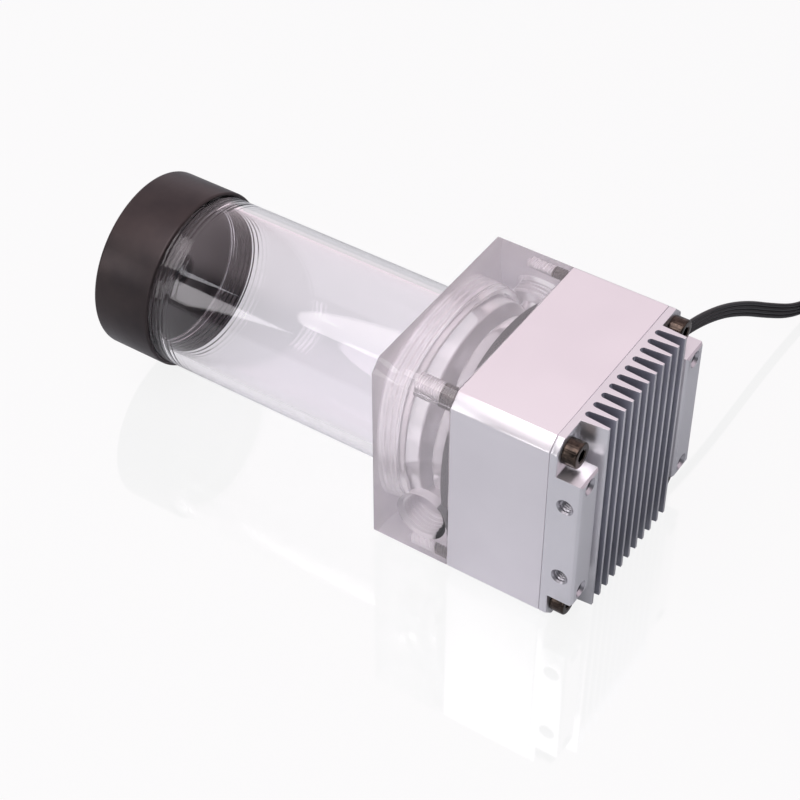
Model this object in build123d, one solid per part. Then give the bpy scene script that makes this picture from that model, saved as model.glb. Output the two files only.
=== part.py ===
from build123d import *
import math
import os

# Coolant pump with a clear tube reservoir, lying on one side of its square housing.
# Millimetres. X runs along the axis of pump and tube, from the black cap (-X) to the finned end (+X).
# While the pieces are made, X = 0 is the joint between the clear block and the aluminium cover.
# Z = 0 is the side that it lies on. At the end everything is moved so that X = 0 is mid-length.

# Housing
side = 63.0                     # square section of block, cover and heatsink
edge_chamfer = 3.3              # 45 degree chamfer of the long edges
block_length = 23.0             # clear block
cover_length = 27.9             # aluminium cover
seam_break = 0.25               # small chamfers that leave a fine dark seam behind the cover
axis_z = side / 2

# Heatsink
base_thickness = 2.2
fin_height = 7.2
fin_count = 11
fin_tip = 0.9                   # thickness at the tip
fin_root = 2.0                  # thickness at the root
slot_extra = 0.45               # the slots go this much deeper than the floor of the pockets
post_width = 8.6
fin_margin = 2.3                # floor between the outer fins' roots and the posts
pocket_length = 10.15           # corner pockets above and below the posts, for the screw heads
post_break = 0.6                # chamfer of the posts' edges
side_hole_spacing = 25.0
side_hole_depth = 7.0
end_hole_inset = 2.85           # from the post's end to the hole's axis
end_hole_depth = 8.0
tapped_radius = 1.65            # M4 core hole
tapped_sink = 0.45              # countersink beyond the core hole

# Cover screws, M4 socket heads
screw_inset = 5.0               # from the side of the housing to the screw's axis
screw_radius = 2.0
screw_length = 35.0
head_radius = 3.5
head_height = 4.0
hex_width = 3.0
hex_depth = 2.2
screw_clearance = 0.15
thread_clearance = 0.1
blind_hole_depth = 12.0

# Ports, G1/4
port_radius = 13.157 / 2
port_sink = 0.9
outlet_x = -8.0
outlet_drop = 14.5              # the outlet's axis is this far below the pump's axis
outlet_depth = 8.0
outlet_bore = 3.5
inlet_x = -11.6
inlet_depth = 5.8
inlet_bore = 3.0

# Block's inside
socket_depth = 6.0              # the tube's seat
sump_depth = 5.0                # below the tube's end
sump_step = 0.5                 # the sump is this much narrower than the tube's bore
eye_radius = 5.8                # hole from the sump to the impeller
volute_radius = 18.5
volute_depth = 9.5
seat_clearance = 0.1            # round pieces in their seats

# Tube
tube_radius = 25.0
tube_wall = 3.0
tube_visible = 78.25            # between block and cap
tube_in_cap = 7.0

# Cap
skirt_wall = 1.0
cap_length = 18.55
cap_round = 0.9

# Fill plug in the cap's end
fill_thread_length = 7.0
fill_port_depth = 9.8
fill_collar_radius = 8.7
fill_collar = 2.4
fill_clearance = 0.08
fill_hex = 8.0
fill_hex_depth = 4.0
fill_seat_radius = 8.5
fill_seat_depth = 1.2
fill_bore = 4.5

# Seals
end_seal = 0.8                  # section radius of the rings at the tube's ends
fill_seal = 0.6
pump_seal = 1.0
pump_seal_radius = 22.8

# Motor
flange_radius = 27.0
flange_proud = 1.2              # rim that stands out of the cover into the block
flange_depth = 2.0
can_radius = 23.0
can_wall = 1.2
can_clearance = 0.2
web_recess = 2.0                # face behind the impeller, from the flange's rim
rim_inner = 18.0
lid_thickness = 2.9
pad_thickness = 1.0
pad_radius = 20.0
board_thickness = 1.6
board_gap = 0.9                 # from the cup's bottom to the board
capacitor_gap = 0.6             # from the tall parts to the lid
capacitor_radius = 3.0
capacitor_places = ((9.0, -6.0), (1.0, -12.0))
chip_size = (1.8, 9.0, 6.0)
chip_place = (0.0, 8.0)
driver_size = (1.2, 5.0, 6.0)
driver_place = (-9.0, -4.0)
yoke_margin = 1.0               # the ring of the core stands past its poles
pole_count = 6
pole_width = 4.5
pole_length = 7.0
yoke_outer = 21.6
yoke_inner = 19.4
coil_height = 3.4
coil_width = 1.8
coil_gap = 0.15

# Rotor, a hemisphere that turns on a ball
ball_x = 1.0
ball_radius = 2.4
ball_clearance = 0.05
magnet_radius = 13.0
magnet_bore = 4.5
magnet_gap = 0.7
cup_wall = 0.4
pole_gap = 0.3
post_radius = 1.5
bearing_radius = 4.0
bearing_length = 5.0
impeller_radius = 16.0
plate_thickness = 1.2
shroud_thickness = 1.2
shroud_eye = 6.6
shroud_gap = 0.8                # to the bottom of the volute
hub_wall = 1.3
hub_cap = 1.0
blade_count = 6
blade_thickness = 1.1
blade_sweep = 55.0

# Cable
cable_radius = 2.4
cable_x = 21.0
cable_z = 33.0
grommet_body = 3.5
grommet_flange = 5.0
grommet_flange_thickness = 1.5
grommet_nose = 4.5
grommet_tip = 2.9
coil_x = 63.5
coil_y = 130.0
coil_turn = 27.0
connector_size = (21.0, 15.0, 8.0)
connector_x = 87.0
connector_y = 89.5
connector_break = 1.5
terminal_pitch = 5.08
terminal_radius = 1.1
terminal_socket = 1.7
terminal_depth = 9.0

# Derived places
pocket_x = cover_length + base_thickness
fin_tip_x = pocket_x + fin_height
screw_offset = side / 2 - screw_inset
post_length = side - 2 * pocket_length
end_hole_spacing = post_length - 2 * end_hole_inset
fin_field_half = side / 2 - post_width - fin_margin
fin_pitch = (2 * fin_field_half - fin_root) / (fin_count - 1)
socket_x = -block_length + socket_depth
sump_x = socket_x + sump_depth
tube_inner = tube_radius - tube_wall
sump_radius = tube_inner - sump_step
cap_radius = tube_radius + seat_clearance + skirt_wall
cap_x = -block_length - tube_visible
tube_end_x = cap_x - tube_in_cap
cap_end_x = cap_x - cap_length
collar_x = cap_end_x - fill_collar
cup_inner = magnet_radius + magnet_gap
cup_outer = cup_inner + cup_wall
web_x = -flange_proud + web_recess
lid_x = cover_length - pad_thickness - lid_thickness
board_x = ball_x + cup_outer + board_gap
pole_start = flange_depth + can_wall + coil_width + 2 * coil_gap
pole_end = pole_start + pole_length
impeller_x = -volute_depth + shroud_gap
seal_ring_radius = tube_radius - tube_wall / 2
to_row_frame = Pos(-(fin_tip_x + collar_x) / 2, 0, 0)

# The cable's run from its grommet, over the edge and down to the coil, and from the coil to its connector
cable_start = side / 2 + grommet_flange_thickness + grommet_nose
cable_route = [
    (cable_x, cable_start, cable_z),
    (cable_x, 47.5, cable_z),
    (22.8, 59.5, 31.6),
    (25.2, 72.0, 27.2),
    (27.6, 84.0, 20.2),
    (30.2, 95.5, 12.2),
    (33.0, 107.0, 5.8),
    (35.2, 118.5, cable_radius + 0.4),
    (coil_x - coil_turn, coil_y, cable_radius),
]
tail_route = [
    (coil_x + coil_turn - 0.4, coil_y + 5.0, 3 * cable_radius),
    (91.0, 122.0, 3 * cable_radius + 0.2),
    (89.5, 111.0, 5.6),
    (connector_x, 100.0, connector_size[2] / 2),
    (connector_x, connector_y, connector_size[2] / 2),
]


def rod(x0, x1, radius, y=0.0, z=axis_z):
    return Pos((x0 + x1) / 2, y, z) * Rot(0, 90, 0) * Cylinder(radius, abs(x1 - x0))


def pipe(x0, x1, outer, inner, y=0.0, z=axis_z):
    return rod(x0, x1, outer, y, z) - rod(x0, x1, inner, y, z)


def side_rod(y0, y1, radius, x, z):
    return Pos(x, (y0 + y1) / 2, z) * Rot(90, 0, 0) * Cylinder(radius, abs(y1 - y0))


def ball(x, radius):
    return Pos(x, 0, axis_z) * Sphere(radius)


def seal(x, ring_radius, section_radius):
    return Pos(x, 0, axis_z) * Rot(0, 90, 0) * Torus(ring_radius, section_radius)


def turned(points, y=0.0, z=axis_z):
    """A round piece from its outline of (x, radius) points."""
    profile = make_face(Polyline(*points, close=True))
    return Pos(0, y, z) * revolve(profile, Axis.X)


def section():
    square = Rectangle(side, side)
    return chamfer(square.vertices(), edge_chamfer)


def bar(x0, x1, sketch):
    placed = Plane(origin=(x0, 0, axis_z), x_dir=(0, 1, 0), z_dir=(1, 0, 0)) * sketch
    return extrude(placed, amount=x1 - x0)


def hexagon(x0, x1, width, y=0.0, z=axis_z):
    flat = Plane(origin=(x0, y, z), x_dir=(0, 1, 0), z_dir=(1, 0, 0))
    return extrude(flat * RegularPolygon(width / 2, 6, major_radius=False), amount=x1 - x0)


def screw_places():
    for y in (-screw_offset, screw_offset):
        for z in (axis_z - screw_offset, axis_z + screw_offset):
            yield y, z


def sunk_hole_x(mouth_x, depth, radius, sink, y, z):
    """A hole along X with a countersunk mouth at mouth_x, going towards -X."""
    hole = rod(mouth_x - depth, mouth_x, radius, y, z)
    cone = Pos(mouth_x - sink / 2, y, z) * Rot(0, 90, 0) * Cone(radius, radius + sink, sink)
    return hole + cone


def sunk_hole_side(direction, depth, radius, sink, x, z, face=side / 2):
    """A hole along Y in the side at direction (-1 or +1), with a countersunk mouth."""
    mouth = direction * face
    hole = side_rod(mouth, mouth - direction * depth, radius, x, z)
    cone = Pos(x, mouth - direction * sink / 2, z) * Rot(-90 * direction, 0, 0)
    return hole + cone * Cone(radius, radius + sink, sink)


def acrylic_block():
    block = bar(-block_length, 0, section())
    block -= rod(-block_length, socket_x, tube_radius + seat_clearance)
    block -= rod(socket_x, sump_x, sump_radius)
    block -= pipe(socket_x, socket_x + 2 * end_seal, seal_ring_radius + end_seal + seat_clearance,
                  seal_ring_radius - end_seal - seat_clearance)
    block -= rod(sump_x, -volute_depth, eye_radius)
    block -= rod(-volute_depth, 0, volute_radius)
    block -= rod(-flange_proud, 0, flange_radius + seat_clearance)
    seal_floor = -flange_proud - 2 * pump_seal
    block -= pipe(seal_floor, -flange_proud, pump_seal_radius + pump_seal, pump_seal_radius - pump_seal)
    for y, z in screw_places():
        block -= rod(-blind_hole_depth, 0, screw_radius + thread_clearance, y, z)
    outlet_z = axis_z - outlet_drop
    block -= sunk_hole_side(-1, outlet_depth, port_radius, port_sink, outlet_x, outlet_z)
    block -= side_rod(-side / 2 + outlet_depth, 0, outlet_bore, outlet_x, outlet_z)
    block -= sunk_hole_side(1, inlet_depth, port_radius, port_sink, inlet_x, axis_z)
    block -= side_rod(volute_radius + 1.0, side / 2 - inlet_depth, inlet_bore, inlet_x, axis_z)
    return block


def pump_cover():
    cover = bar(0, cover_length, section())
    rear_edges = cover.faces().sort_by(Axis.X)[-1].edges()
    cover = chamfer(rear_edges, seam_break)
    cover -= rod(0, flange_depth, flange_radius + seat_clearance)
    cover -= rod(0, cover_length, can_radius + can_clearance)
    for y, z in screw_places():
        cover -= rod(0, cover_length, screw_radius + screw_clearance, y, z)
    cover -= side_rod(can_radius, side / 2, grommet_body, cable_x, cable_z)
    return cover


def fin_slots():
    """The gaps between and beside the fins, each with a round bottom, wider at the tips."""
    root_gap = fin_pitch - fin_root
    tip_gap = fin_pitch - fin_tip
    floor_x = pocket_x - slot_extra
    shoulder_x = floor_x + root_gap / 2
    slots = Part()
    for number in range(fin_count - 1):
        y = (number - (fin_count - 2) / 2) * fin_pitch
        sides = Polyline((fin_tip_x, y + tip_gap / 2), (shoulder_x, y + root_gap / 2))
        bottom = ThreePointArc((shoulder_x, y + root_gap / 2), (floor_x, y), (shoulder_x, y - root_gap / 2))
        back = Polyline((shoulder_x, y - root_gap / 2), (fin_tip_x, y - tip_gap / 2), (fin_tip_x, y + tip_gap / 2))
        outline = make_face([sides, bottom, back])
        slots += extrude(Plane.XY * outline, amount=side)
    return slots


def fin_field():
    """One solid comb before its slots are cut, with the outer fins' slanted faces."""
    root_half = (fin_count - 1) / 2 * fin_pitch + fin_root / 2
    tip_half = (fin_count - 1) / 2 * fin_pitch + fin_tip / 2
    outline = make_face(Polyline((cover_length, -root_half), (pocket_x, -root_half), (fin_tip_x, -tip_half),
                                 (fin_tip_x, tip_half), (pocket_x, root_half), (cover_length, root_half),
                                 close=True))
    return extrude(outline, amount=side)


def mounting_post(direction):
    inner_y = direction * (side / 2 - post_width)
    outer_y = direction * side / 2
    length = fin_tip_x - cover_length
    post = Pos(cover_length + length / 2, (inner_y + outer_y) / 2, axis_z) * Box(length, post_width, post_length)
    tip_edges = post.faces().sort_by(Axis.X)[-1].edges()
    return chamfer(tip_edges, post_break)


def heatsink():
    base = bar(cover_length, pocket_x, section())
    front_edges = base.faces().sort_by(Axis.X)[0].edges()
    base = chamfer(front_edges, seam_break)
    body = base + fin_field() - fin_slots()
    side_hole_x = (pocket_x + fin_tip_x) / 2 - post_break
    for direction in (-1, 1):
        body += mounting_post(direction)
        y = direction * (side - post_width) / 2
        for step in (-1, 1):
            body -= sunk_hole_x(fin_tip_x, end_hole_depth, tapped_radius, tapped_sink, y,
                                axis_z + step * end_hole_spacing / 2)
    for step in (-1, 1):
        body -= sunk_hole_side(-1, side_hole_depth, tapped_radius, tapped_sink, side_hole_x,
                               axis_z + step * side_hole_spacing / 2)
    for y, z in screw_places():
        body -= rod(cover_length, pocket_x, screw_radius + screw_clearance, y, z)
    return body


def cover_screw(y, z):
    tip_x = pocket_x - screw_length
    top_x = pocket_x + head_height
    point = screw_radius * 0.3
    edge = head_radius * 0.08
    outline = [
        (tip_x, 0),
        (tip_x, screw_radius - point),
        (tip_x + point, screw_radius),
        (pocket_x, screw_radius),
        (pocket_x, head_radius),
        (top_x - edge, head_radius),
        (top_x, head_radius - edge),
        (top_x, 0),
    ]
    return turned(outline, y, z) - hexagon(top_x - hex_depth, top_x, hex_width, y, z)


def reservoir_tube():
    return pipe(tube_end_x, socket_x, tube_radius, tube_inner)


def cap():
    outline = [
        (cap_end_x, 0),
        (cap_end_x, cap_radius),
        (cap_x, cap_radius),
        (cap_x, tube_radius + seat_clearance),
        (tube_end_x, tube_radius + seat_clearance),
        (tube_end_x, 0),
    ]
    body = turned(outline)
    outer_rims = body.edges().filter_by(GeomType.CIRCLE).group_by(SortBy.RADIUS)[-1]
    body = fillet(outer_rims, cap_round)
    body -= pipe(tube_end_x - 2 * end_seal, tube_end_x, seal_ring_radius + end_seal + seat_clearance,
                 seal_ring_radius - end_seal - seat_clearance)
    body -= rod(cap_end_x, cap_end_x + fill_seat_depth, fill_seat_radius)
    body -= rod(cap_end_x, cap_end_x + fill_port_depth, port_radius)
    body -= rod(cap_end_x, tube_end_x, fill_bore)
    return body


def fill_plug():
    stem = rod(cap_end_x, cap_end_x + fill_thread_length, port_radius - fill_clearance)
    stem = chamfer(stem.edges().group_by(Axis.X)[-1], 0.6)
    collar = rod(collar_x, cap_end_x, fill_collar_radius)
    collar = chamfer(collar.edges().group_by(Axis.X)[0], 0.4)
    return stem + collar - hexagon(collar_x, collar_x + fill_hex_depth, fill_hex)


def motor_housing():
    can_inner = can_radius - can_wall
    rim = [
        (-flange_proud, rim_inner),
        (-flange_proud, flange_radius),
        (flange_depth, flange_radius),
        (flange_depth, can_radius),
        (lid_x, can_radius),
        (lid_x, can_inner),
        (flange_depth + can_wall, can_inner),
        (flange_depth + can_wall, cup_outer),
        (web_x, cup_outer),
        (web_x, rim_inner),
    ]
    return turned(rim)


def separation_cup():
    outer = ball(ball_x, cup_outer) & rod(ball_x, ball_x + 2 * cup_outer, 2 * cup_outer)
    inner = ball(ball_x, cup_inner)
    shell = outer - inner
    collar = pipe(web_x, ball_x, cup_outer, cup_inner)
    return shell + collar


def bearing_post():
    """A post on the cup's round bottom, with a round seat for the ball."""
    seat_edge = ball_x + math.sqrt(ball_radius ** 2 - post_radius ** 2)
    foot_edge = ball_x + math.sqrt(cup_inner ** 2 - post_radius ** 2)
    foot_x = ball_x + cup_inner
    seat_middle = Vector(ball_radius, 0).rotate(Axis.Z, math.degrees(math.asin(post_radius / ball_radius)) / 2)
    foot_middle = Vector(cup_inner, 0).rotate(Axis.Z, math.degrees(math.asin(post_radius / cup_inner)) / 2)
    centre = Vector(ball_x, 0)
    profile = make_face([
        ThreePointArc((ball_x + ball_radius, 0), centre + seat_middle, (seat_edge, post_radius)),
        Line((seat_edge, post_radius), (foot_edge, post_radius)),
        ThreePointArc((foot_edge, post_radius), centre + foot_middle, (foot_x, 0)),
        Line((foot_x, 0), (ball_x + ball_radius, 0)),
    ])
    return Pos(0, 0, axis_z) * revolve(profile, Axis.X)


def rotor_magnet():
    dome = ball(ball_x, magnet_radius) & rod(ball_x, ball_x + 2 * magnet_radius, 2 * magnet_radius)
    skirt = rod(0, ball_x, magnet_radius)
    return dome + skirt - rod(-1, ball_x + 2 * magnet_radius, magnet_bore)


def rotor_bearing():
    seat = rod(ball_x - bearing_length, ball_x, bearing_radius)
    return seat - ball(ball_x, ball_radius + ball_clearance)


def blade(number):
    """One backward curved blade as a thin extruded arc."""
    start_radius = bearing_radius + hub_wall / 2
    end_radius = impeller_radius - blade_thickness
    turn = 360 / blade_count * number
    middle_radius = (start_radius + end_radius) / 2
    start = Vector(start_radius, 0).rotate(Axis.Z, turn)
    middle = Vector(middle_radius, 0).rotate(Axis.Z, turn + blade_sweep * 0.32)
    end = Vector(end_radius, 0).rotate(Axis.Z, turn + blade_sweep)
    line = ThreePointArc(start, middle, end)
    return bar(impeller_x, -plate_thickness, trace(line, blade_thickness))


def impeller():
    wheel = pipe(-plate_thickness, 0, impeller_radius, bearing_radius)
    wheel += pipe(impeller_x, impeller_x + shroud_thickness, impeller_radius, shroud_eye)
    hub_x = ball_x - bearing_length
    wheel += pipe(hub_x, 0, bearing_radius + hub_wall, bearing_radius)
    wheel += rod(hub_x - hub_cap, hub_x, bearing_radius + hub_wall)
    blades = Part()
    for number in range(blade_count):
        blades += blade(number)
    bore = rod(hub_x, 0, bearing_radius)
    return wheel + (blades & pipe(impeller_x, 0, impeller_radius, bearing_radius)) - bore


def around_axis(piece, number, count):
    spin = Pos(0, 0, axis_z) * Rot(360 / count * number, 0, 0) * Pos(0, 0, -axis_z)
    return spin * piece


def stator_core():
    core = pipe(pole_start - yoke_margin, pole_end + yoke_margin, yoke_outer, yoke_inner)
    reach = (yoke_inner + yoke_outer) / 2
    pole = Pos((pole_start + pole_end) / 2, 0, axis_z + reach / 2) * Box(pole_length, pole_width, reach)
    for number in range(pole_count):
        core += around_axis(pole, number, pole_count)
    return core - ball(ball_x, cup_outer + pole_gap)


def stator_coils():
    full_length = pole_length + 2 * (coil_gap + coil_width)
    full_width = pole_width + 2 * (coil_gap + coil_width)
    outer_end = math.sqrt((yoke_inner - coil_gap) ** 2 - (full_width / 2) ** 2)
    middle = outer_end - coil_height / 2
    centre = Pos((pole_start + pole_end) / 2, 0, axis_z + middle)
    winding = centre * Box(full_length, full_width, coil_height)
    winding = fillet(winding.edges().filter_by(Axis.Z), coil_width * 0.8)
    winding -= centre * Box(pole_length + 2 * coil_gap, pole_width + 2 * coil_gap, coil_height)
    return [around_axis(winding, number, pole_count) for number in range(pole_count)]


def circuit_board():
    board = rod(board_x, board_x + board_thickness, can_radius - can_wall - can_clearance)
    return board - rod(board_x, board_x + board_thickness, tapped_radius)


def on_board(size, place):
    face_x = board_x + board_thickness
    return Pos(face_x + size[0] / 2, place[0], axis_z + place[1]) * Box(*size)


def board_parts():
    face_x = board_x + board_thickness
    tall_end = lid_x - capacitor_gap
    capacitors = [rod(face_x, tall_end, capacitor_radius, y, axis_z + z) for y, z in capacitor_places]
    return [on_board(chip_size, chip_place), on_board(driver_size, driver_place)] + capacitors


def motor_lid():
    return rod(lid_x, lid_x + lid_thickness, can_radius)


def thermal_pad():
    return rod(cover_length - pad_thickness, cover_length, pad_radius)


def cable_grommet():
    face = side / 2
    inner = can_radius + can_clearance
    body = side_rod(inner + 0.3, face, grommet_body, cable_x, cable_z)
    flange_end = face + grommet_flange_thickness
    flange = side_rod(face, flange_end, grommet_flange, cable_x, cable_z)
    flange = fillet(flange.edges().group_by(Axis.Y)[-1], 0.5)
    nose = Pos(cable_x, flange_end + grommet_nose / 2, cable_z) * Rot(-90, 0, 0)
    return body + flange + nose * Cone(grommet_body, grommet_tip, grommet_nose)


def bend_radii(points):
    """The largest arcs that the runs beside each corner allow."""
    radii = []
    for before, here, after in zip(points, points[1:], points[2:]):
        run_in = Vector(*here) - Vector(*before)
        run_out = Vector(*after) - Vector(*here)
        half_turn = math.radians(run_in.get_angle(run_out)) / 2
        radii.append(0.45 * min(run_in.length, run_out.length) / math.tan(half_turn))
    return radii


def cord_tube(name, points):
    radii = bend_radii(points)
    path = FilletPolyline(*points, radius=radii)
    end_face = Plane(origin=path @ 0, z_dir=path % 0) * Circle(cable_radius)
    tube = sweep(end_face, path=path)
    expected = math.pi * cable_radius ** 2 * path.length
    print(name, "length", round(path.length, 1), "volume share", round(tube.volume / expected, 4),
          "radii", [round(r, 1) for r in radii])
    return tube


def cable_coil():
    """The put-away turns, two high, as one ring."""
    inner = coil_turn - cable_radius
    outer = coil_turn + cable_radius
    height = 4 * cable_radius
    profile = Rectangle(outer - inner, height)
    profile = fillet(profile.vertices(), cable_radius * 0.8)
    placed = Plane.XZ * Pos(coil_turn, height / 2) * profile
    return Pos(coil_x, coil_y, 0) * revolve(placed, Axis.Z)


def terminal_places():
    for number in range(4):
        yield connector_x + (number - 1.5) * terminal_pitch


def cable_connector():
    width, length, height = connector_size
    shell = Pos(connector_x, connector_y - length / 2, height / 2) * Box(width, length, height)
    top_corners = shell.edges().filter_by(Axis.Y).group_by(Axis.Z)[-1]
    shell = chamfer(top_corners, connector_break)
    front = connector_y - length
    for x in terminal_places():
        shell -= side_rod(front, front + terminal_depth, terminal_socket, x, height / 2)
    return shell


def cable_terminals():
    width, length, height = connector_size
    front = connector_y - length
    pins = []
    for x in terminal_places():
        pin = side_rod(front + 1, front + terminal_depth, terminal_radius, x, height / 2)
        pins.append(fillet(pin.edges().group_by(Axis.Y)[0], terminal_radius * 0.6))
    return pins


nodes = {
    "acrylic_block": acrylic_block(),
    "pump_cover": pump_cover(),
    "heatsink": heatsink(),
    "cover_screws": [cover_screw(y, z) for y, z in screw_places()],
    "reservoir_tube": reservoir_tube(),
    "tube_o_ring": seal(socket_x + end_seal, seal_ring_radius, end_seal),
    "cap": cap(),
    "cap_o_ring": seal(tube_end_x - end_seal, seal_ring_radius, end_seal),
    "fill_plug": fill_plug(),
    "fill_o_ring": seal(cap_end_x + fill_seal, port_radius + 0.35 + fill_seal, fill_seal),
    "motor_housing": motor_housing(),
    "pump_o_ring": seal(-flange_proud - pump_seal, pump_seal_radius, pump_seal),
    "separation_cup": separation_cup(),
    "bearing_post": bearing_post(),
    "bearing_ball": ball(ball_x, ball_radius),
    "stator_core": stator_core(),
    "stator_coils": stator_coils(),
    "circuit_board": circuit_board(),
    "board_parts": board_parts(),
    "motor_lid": motor_lid(),
    "thermal_pad": thermal_pad(),
    "rotor_magnet": rotor_magnet(),
    "rotor_bearing": rotor_bearing(),
    "impeller": impeller(),
    "cable_grommet": cable_grommet(),
    "cable": cord_tube("cable", cable_route),
    "cable_coil": cable_coil(),
    "cable_tail": cord_tube("cable tail", tail_route),
    "cable_connector": cable_connector(),
    "cable_terminals": cable_terminals(),
}

os.makedirs("parts", exist_ok=True)
for name, shape in nodes.items():
    if isinstance(shape, list):
        shape = Compound(children=shape)
    export_step(to_row_frame * shape, f"parts/{name}.step")
print("moved along X by", round(-(fin_tip_x + collar_x) / 2, 3))
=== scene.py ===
import math

import bmesh
import bpy
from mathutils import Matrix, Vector


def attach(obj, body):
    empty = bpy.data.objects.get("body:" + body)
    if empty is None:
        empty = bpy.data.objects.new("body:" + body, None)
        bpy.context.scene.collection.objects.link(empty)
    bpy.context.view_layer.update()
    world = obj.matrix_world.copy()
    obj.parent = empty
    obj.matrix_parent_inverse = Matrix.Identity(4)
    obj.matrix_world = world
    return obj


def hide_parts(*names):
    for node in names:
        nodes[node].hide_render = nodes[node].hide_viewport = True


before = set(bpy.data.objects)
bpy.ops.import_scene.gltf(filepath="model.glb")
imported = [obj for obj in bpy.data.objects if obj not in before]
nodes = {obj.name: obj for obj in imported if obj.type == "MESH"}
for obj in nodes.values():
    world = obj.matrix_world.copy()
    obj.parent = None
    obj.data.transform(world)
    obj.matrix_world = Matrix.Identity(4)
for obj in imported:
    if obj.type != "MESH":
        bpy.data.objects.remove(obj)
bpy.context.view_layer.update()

# Coolant pump with a clear tube reservoir. Its shapes are given in millimetres, with X counted from the
# joint between the clear block and the aluminium cover, and made in metres in the model's own frame.
# Finishes, floor and lamps are given in metres.
MM = 0.001
JOINT_X = 42.45
AXIS_Z = 31.5
SIDE = 63.0
EDGE_CHAMFER = 3.3
FULL_TURN = 2 * math.pi

BLOCK_END = -23.0
SOCKET_FLOOR = -17.0
SUMP_FLOOR = -12.0
CHAMBER_TOP = -9.5
COVER_END = 27.9
POCKET_FLOOR = 30.1
FIN_TIPS = 37.3
SKIRT_EDGE = -101.25
TUBE_END = -108.25
CAP_END = -119.8
SCREW_OFFSET = 26.5


def at(x, y, z):
    return Vector(((x + JOINT_X) * MM, y * MM, z * MM))


# ---- camera ----
camera = bpy.data.objects.new("camera", bpy.data.cameras.new("camera"))
camera.data.lens = 90.23
camera.data.sensor_width = 36.0
camera.data.clip_start = 0.01
camera.data.clip_end = 20.0
camera.location = (0.22616, -0.33180, 0.39533)
camera.rotation_euler = (math.radians(46.60), 0.0, math.radians(33.43))
bpy.context.scene.collection.objects.link(camera)
bpy.context.scene.camera = camera


# ---- making meshes ----
def into_piece(name, shape, angle=30.0):
    """A bmesh becomes an object, smooth but for its real edges."""
    bmesh.ops.recalc_face_normals(shape, faces=shape.faces)
    mesh = bpy.data.meshes.new(name)
    shape.to_mesh(mesh)
    shape.free()
    mesh.shade_smooth()
    mesh.set_sharp_from_angle(angle=math.radians(angle))
    piece = bpy.data.objects.new(name, mesh)
    bpy.context.scene.collection.objects.link(piece)
    return piece


def turned(shape, outline, start, direction=(1, 0, 0), steps=96, form=None):
    """Adds a closed outline of (along, radius) points in mm, turned about a line, to a bmesh.

    form(along, radius, angle) may change the radius round the line, as for a screw thread.
    """
    along = Vector(direction).normalized()
    across = along.orthogonal().normalized()
    rise = along.cross(across)
    rings = []
    for distance, radius in outline:
        centre = start + along * (distance * MM)
        if radius == 0:
            rings.append([shape.verts.new(centre)])
            continue
        ring = []
        for step in range(steps):
            angle = FULL_TURN * step / steps
            reach = (form(distance, radius, angle) if form else radius) * MM
            outward = across * math.cos(angle) + rise * math.sin(angle)
            ring.append(shape.verts.new(centre + outward * reach))
        rings.append(ring)
    for ring, following in zip(rings, rings[1:] + rings[:1]):
        if len(ring) + len(following) < steps:
            continue
        for step in range(steps):
            corners = [ring[step % len(ring)], ring[(step + 1) % len(ring)],
                       following[(step + 1) % len(following)], following[step % len(following)]]
            shape.faces.new(list(dict.fromkeys(corners)))
    return shape


def wall(x_from, x_to, radius, count):
    """Close-set outline points along a wall that a thread runs over."""
    return [(x_from + (x_to - x_from) * step / count, radius) for step in range(count + 1)]


def corner_arc(centre, radius, angle_from, angle_to, count=5):
    """Outline points of a rounded rim, angles in degrees."""
    points = []
    for step in range(count + 1):
        angle = math.radians(angle_from + (angle_to - angle_from) * step / count)
        points.append((centre[0] + radius * math.cos(angle), centre[1] + radius * math.sin(angle)))
    return points


def thread_valley(along, angle, pitch):
    """From 0 on a right-hand thread's crest to 1 in its valley, with a flat on each."""
    phase = (along / pitch - angle / FULL_TURN) % 1.0
    return min(1.0, max(0.0, 1.35 * (1.0 - abs(2.0 * phase - 1.0)) - 0.18))


def fade(value, low, high, run):
    """1 inside a range and 0 outside it, with ramps of the given run."""
    return min(1.0, max(0.0, min((value - low) / run, (high - value) / run)))


def prism(shape, outline, low, high, place):
    """Adds a closed outline, carried from low to high, to a bmesh. place(u, v, w) gives each point."""
    first = [shape.verts.new(place(u, v, low)) for u, v in outline]
    last = [shape.verts.new(place(u, v, high)) for u, v in outline]
    shape.faces.new(first)
    shape.faces.new(last)
    for here in range(len(outline)):
        after = (here + 1) % len(outline)
        shape.faces.new([first[here], first[after], last[after], last[here]])


def along_x(y, z, x):
    return at(x, y, z)


def housing_section():
    half = SIDE / 2
    near, cut = half - EDGE_CHAMFER, EDGE_CHAMFER
    return [(-near, 0.0), (near, 0.0), (half, cut), (half, SIDE - cut), (near, SIDE), (-near, SIDE),
            (-half, SIDE - cut), (-half, cut)]


def soften(shape, width, segments=2):
    """Rounds every edge of a bmesh a little, so that edges catch the light."""
    bmesh.ops.recalc_face_normals(shape, faces=shape.faces)
    bmesh.ops.bevel(shape, geom=list(shape.edges), offset=width * MM, segments=segments, profile=0.5,
                    affect="EDGES", clamp_overlap=True)


def housing_bar(name, x_from, x_to, edge):
    shape = bmesh.new()
    prism(shape, housing_section(), x_from, x_to, along_x)
    soften(shape, edge)
    return into_piece(name, shape)


def settle(piece, angle=30.0):
    """Turns a piece's modifiers into its own mesh."""
    bpy.context.view_layer.update()
    seen = piece.evaluated_get(bpy.context.evaluated_depsgraph_get())
    mesh = bpy.data.meshes.new_from_object(seen)
    piece.modifiers.clear()
    piece.data = mesh
    mesh.shade_smooth()
    mesh.set_sharp_from_angle(angle=math.radians(angle))


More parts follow.
